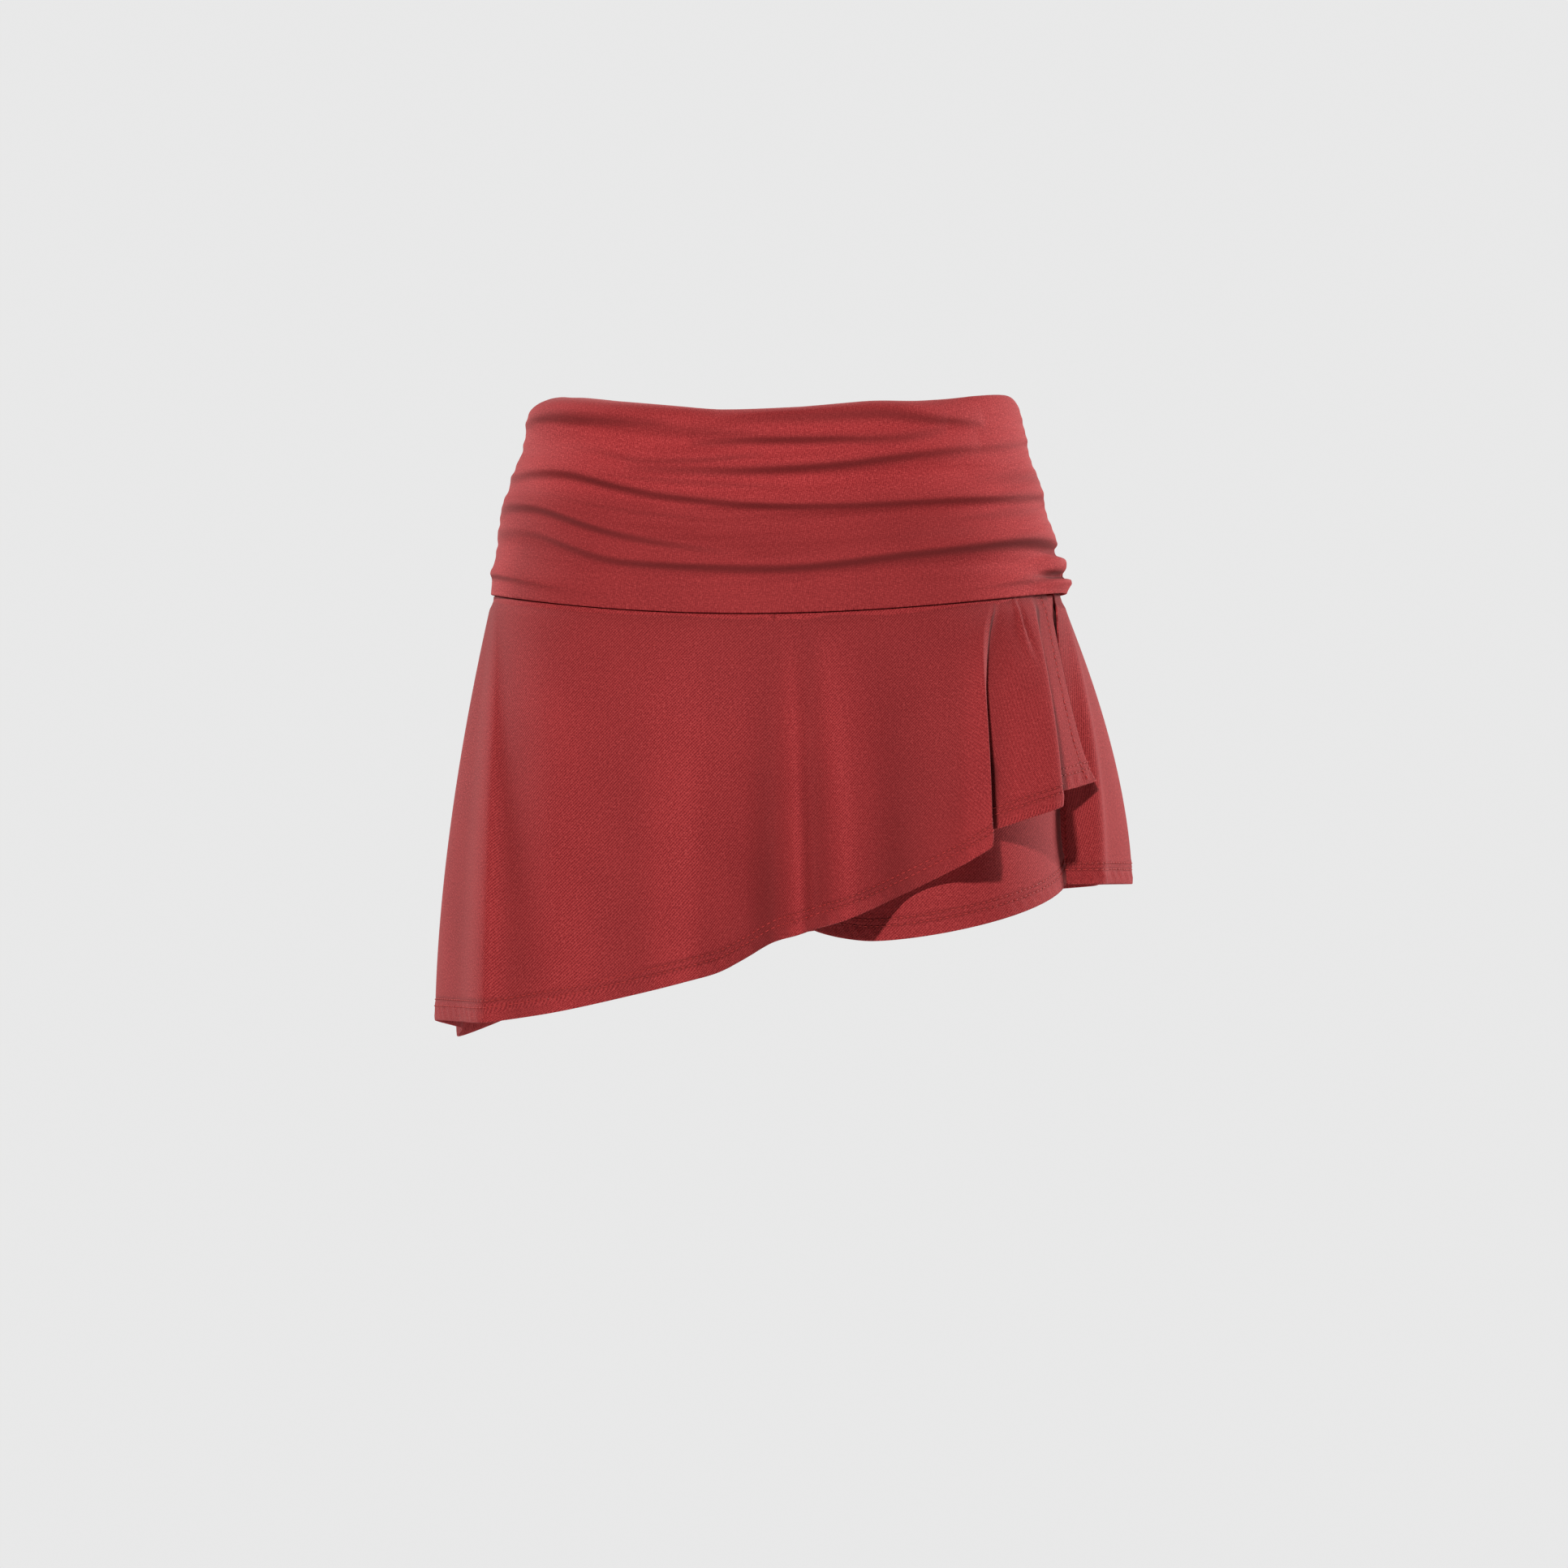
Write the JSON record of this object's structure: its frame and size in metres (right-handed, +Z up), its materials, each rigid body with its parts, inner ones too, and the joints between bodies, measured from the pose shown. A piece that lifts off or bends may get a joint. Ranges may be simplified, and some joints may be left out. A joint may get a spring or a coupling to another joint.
{
  "type": "skort",
  "caption": "Hip-length skort worn low: a ruched hip yoke, a flared skirt with a slanting hem open at the left hip, and short legs under it.",
  "frame": {"origin": "middle of the waist opening, level with the waist edge at the wearer's left side, where the wearer's waist holds the garment", "axes": "+Z up out of the waist opening, -Y the front, +X the wearer's left"},
  "size_m": [0.4045, 0.304, 0.373],
  "materials": {
    "yoke_cloth": "brick-red jersey, matt, doubled and ruched",
    "skirt_cloth": "brick-red jersey, matt, fine diagonal grain",
    "shorts_cloth": "brick-red jersey, matt, fine diagonal grain"
  },
  "bodies": {
    "root": {"yoke_front": "yoke_cloth", "yoke_back": "yoke_cloth", "skirt_front": "skirt_cloth", "skirt_back": "skirt_cloth", "shorts_front_left": "shorts_cloth", "shorts_back_left": "shorts_cloth", "shorts_front_right": "shorts_cloth", "shorts_back_right": "shorts_cloth"}
  },
  "joints": []
}
